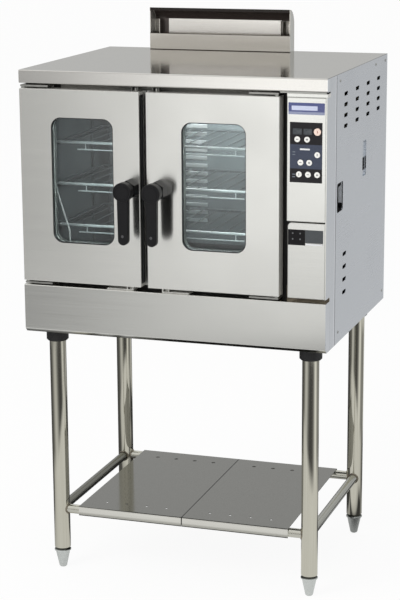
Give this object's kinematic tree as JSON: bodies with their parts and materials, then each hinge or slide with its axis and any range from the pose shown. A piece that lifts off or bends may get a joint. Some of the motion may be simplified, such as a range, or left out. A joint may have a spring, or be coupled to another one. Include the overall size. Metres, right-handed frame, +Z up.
{
  "type": "convection oven",
  "caption": "Free-standing convection oven with windowed swing doors, lever handles, push-key controls and a rear flue, on a tubular stand with a shelf.",
  "frame": {"origin": "on the floor under the middle of the whole oven's bounding box", "axes": "+Z up, +Y from the doors to the back, +X to the right as seen from the front"},
  "size_m": [0.9015, 0.818, 1.641],
  "materials": {
    "casing_steel": "satin brushed stainless steel",
    "side_steel": "satin brushed stainless steel",
    "leg_steel": "polished stainless tube",
    "shelf_steel": "dull stainless sheet",
    "foot_metal": "grey enamelled casting",
    "black_plastic": "satin black",
    "oven_enamel": "dark grey enamel",
    "chrome_wire": "bright plated wire",
    "insulation_wool": "compressed mineral wool",
    "seal_rubber": "matt",
    "door_glass": "clear tempered",
    "hardware_steel": "turned and pressed steel",
    "motor_paint": "black paint",
    "burner_iron": "raw casting",
    "valve_brass": "dull",
    "keypad_black": "printed foil",
    "key_white": "smooth",
    "key_orange": "smooth",
    "board_green": "circuit board",
    "lamp_black": "smooth"
  },
  "bodies": {
    "cabinet": {"back_panel": "side_steel", "base_pan": "side_steel", "burner": "burner_iron", "cable_gland": "black_plastic", "control_panel": "casing_steel", "corner_post": "casing_steel", "door_gasket": "seal_rubber", "fan_baffle": "oven_enamel", "fan_motor": "motor_paint", "flue_hood": "casing_steel", "front_frame": "casing_steel", "front_skirt": "casing_steel", "gas_valve": "valve_brass", "heat_probe": "chrome_wire", "hinge_brackets": "hardware_steel", "insulation": "insulation_wool", "keypad_plate": "keypad_black", "lamp_window": "lamp_black", "latch_keepers": "hardware_steel", "left_side_panel": "side_steel", "leg_collars": "black_plastic", "legs": "leg_steel", "lower_cover": "casing_steel", "oven_liner": "oven_enamel", "rack_guides": "chrome_wire", "right_side_panel": "side_steel", "shelf_plates": "shelf_steel", "side_grip": "black_plastic", "stand_rails": "leg_steel", "switch_board": "board_green", "top_panel": "casing_steel", "wire_racks": "chrome_wire"},
    "left_door": {"left_door_skin": "casing_steel", "left_door_liner": "casing_steel", "left_door_glass": "door_glass"},
    "left_lever": {"left_handle": "black_plastic", "left_spindle": "hardware_steel"},
    "left_top_latch": {"left_upper_rod": "hardware_steel"},
    "left_bottom_latch": {"left_lower_rod": "hardware_steel"},
    "right_door": {"right_door_skin": "casing_steel", "right_door_liner": "casing_steel", "right_door_glass": "door_glass"},
    "right_lever": {"right_handle": "black_plastic", "right_spindle": "hardware_steel"},
    "right_top_latch": {"right_upper_rod": "hardware_steel"},
    "right_bottom_latch": {"right_lower_rod": "hardware_steel"},
    "fan": {"fan_wheel": "hardware_steel"},
    "power_key": {"power_key": "key_orange"},
    "upper_left_key": {"upper_left_key": "key_white"},
    "upper_right_key": {"upper_right_key": "key_white"},
    "timer_key": {"timer_key": "key_white"},
    "middle_left_key": {"middle_left_key": "key_white"},
    "middle_right_key": {"middle_right_key": "key_white"},
    "lower_left_key": {"lower_left_key": "key_white"},
    "lower_middle_key": {"lower_middle_key": "key_white"},
    "lower_right_key": {"lower_right_key": "key_white"},
    "foot_front_left": {"foot_front_left": "foot_metal"},
    "foot_front_right": {"foot_front_right": "foot_metal"},
    "foot_rear_left": {"foot_rear_left": "foot_metal"},
    "foot_rear_right": {"foot_rear_right": "foot_metal"}
  },
  "joints": [
    {"name": "left_door_swing", "type": "hinge", "parent": "cabinet", "child": "left_door", "pos_m": [-0.44, -0.323, 1.1825], "axis": [0, 0, -1], "range_deg": [0, 130]},
    {"name": "left_top_latch_slide", "type": "slide", "parent": "left_door", "child": "left_top_latch", "axis": [0, 0, -1], "range_m": [0, 0.012]},
    {"name": "left_handle_turn", "type": "hinge", "parent": "left_door", "child": "left_lever", "pos_m": [-0.116, -0.333, 1.189], "axis": [0, 1, 0], "range_deg": [0, 60.01]},
    {"name": "left_bottom_latch_slide", "type": "slide", "parent": "left_door", "child": "left_bottom_latch", "axis": [0, 0, 1], "range_m": [-0.0001, 0.0121]},
    {"name": "right_door_swing", "type": "hinge", "parent": "cabinet", "child": "right_door", "pos_m": [0.3057, -0.323, 1.1825], "axis": [0, 0, 1], "range_deg": [0, 130]},
    {"name": "right_top_latch_slide", "type": "slide", "parent": "right_door", "child": "right_top_latch", "axis": [0, 0, -1], "range_m": [0, 0.012]},
    {"name": "right_handle_turn", "type": "hinge", "parent": "right_door", "child": "right_lever", "pos_m": [-0.032, -0.333, 1.189], "axis": [0, -1, 0], "range_deg": [0, 60.01]},
    {"name": "right_bottom_latch_slide", "type": "slide", "parent": "right_door", "child": "right_bottom_latch", "axis": [0, 0, 1], "range_m": [-0.0001, 0.0121]},
    {"name": "fan_spin", "type": "hinge", "parent": "cabinet", "child": "fan", "pos_m": [-0.06715, 0.204, 1.1825], "axis": [0, 1, 0], "continuous": true},
    {"name": "power_key_press", "type": "slide", "parent": "cabinet", "child": "power_key", "axis": [0, 1, 0], "range_m": [0, 0.0008], "stiffness_N_per_m": 300},
    {"name": "upper_left_key_press", "type": "slide", "parent": "cabinet", "child": "upper_left_key", "axis": [0, 1, 0], "range_m": [0, 0.0008], "stiffness_N_per_m": 300},
    {"name": "upper_right_key_press", "type": "slide", "parent": "cabinet", "child": "upper_right_key", "axis": [0, 1, 0], "range_m": [0, 0.0008], "stiffness_N_per_m": 300},
    {"name": "timer_key_press", "type": "slide", "parent": "cabinet", "child": "timer_key", "axis": [0, 1, 0], "range_m": [0, 0.0008], "stiffness_N_per_m": 300},
    {"name": "middle_left_key_press", "type": "slide", "parent": "cabinet", "child": "middle_left_key", "axis": [0, 1, 0], "range_m": [0, 0.0008], "stiffness_N_per_m": 300},
    {"name": "middle_right_key_press", "type": "slide", "parent": "cabinet", "child": "middle_right_key", "axis": [0, 1, 0], "range_m": [0, 0.0008], "stiffness_N_per_m": 300},
    {"name": "lower_left_key_press", "type": "slide", "parent": "cabinet", "child": "lower_left_key", "axis": [0, 1, 0], "range_m": [0, 0.0008], "stiffness_N_per_m": 300},
    {"name": "lower_middle_key_press", "type": "slide", "parent": "cabinet", "child": "lower_middle_key", "axis": [0, 1, 0], "range_m": [0, 0.0008], "stiffness_N_per_m": 300},
    {"name": "lower_right_key_press", "type": "slide", "parent": "cabinet", "child": "lower_right_key", "axis": [0, 1, 0], "range_m": [0, 0.0008], "stiffness_N_per_m": 300},
    {"name": "front_left_foot_screw", "type": "slide", "parent": "cabinet", "child": "foot_front_left", "axis": [0, 0, 1], "range_m": [-0.02, 0]},
    {"name": "front_right_foot_screw", "type": "slide", "parent": "cabinet", "child": "foot_front_right", "axis": [0, 0, 1], "range_m": [-0.02, 0]},
    {"name": "rear_left_foot_screw", "type": "slide", "parent": "cabinet", "child": "foot_rear_left", "axis": [0, 0, 1], "range_m": [-0.02, 0]},
    {"name": "rear_right_foot_screw", "type": "slide", "parent": "cabinet", "child": "foot_rear_right", "axis": [0, 0, 1], "range_m": [-0.02, 0]}
  ],
  "couplings": [
    {"joint": "left_handle_turn", "follows": "left_top_latch_slide", "rad_per_m": 87.266},
    {"joint": "left_bottom_latch_slide", "follows": "left_top_latch_slide", "ratio": 1},
    {"joint": "right_handle_turn", "follows": "right_top_latch_slide", "rad_per_m": 87.266},
    {"joint": "right_bottom_latch_slide", "follows": "right_top_latch_slide", "ratio": 1}
  ]
}
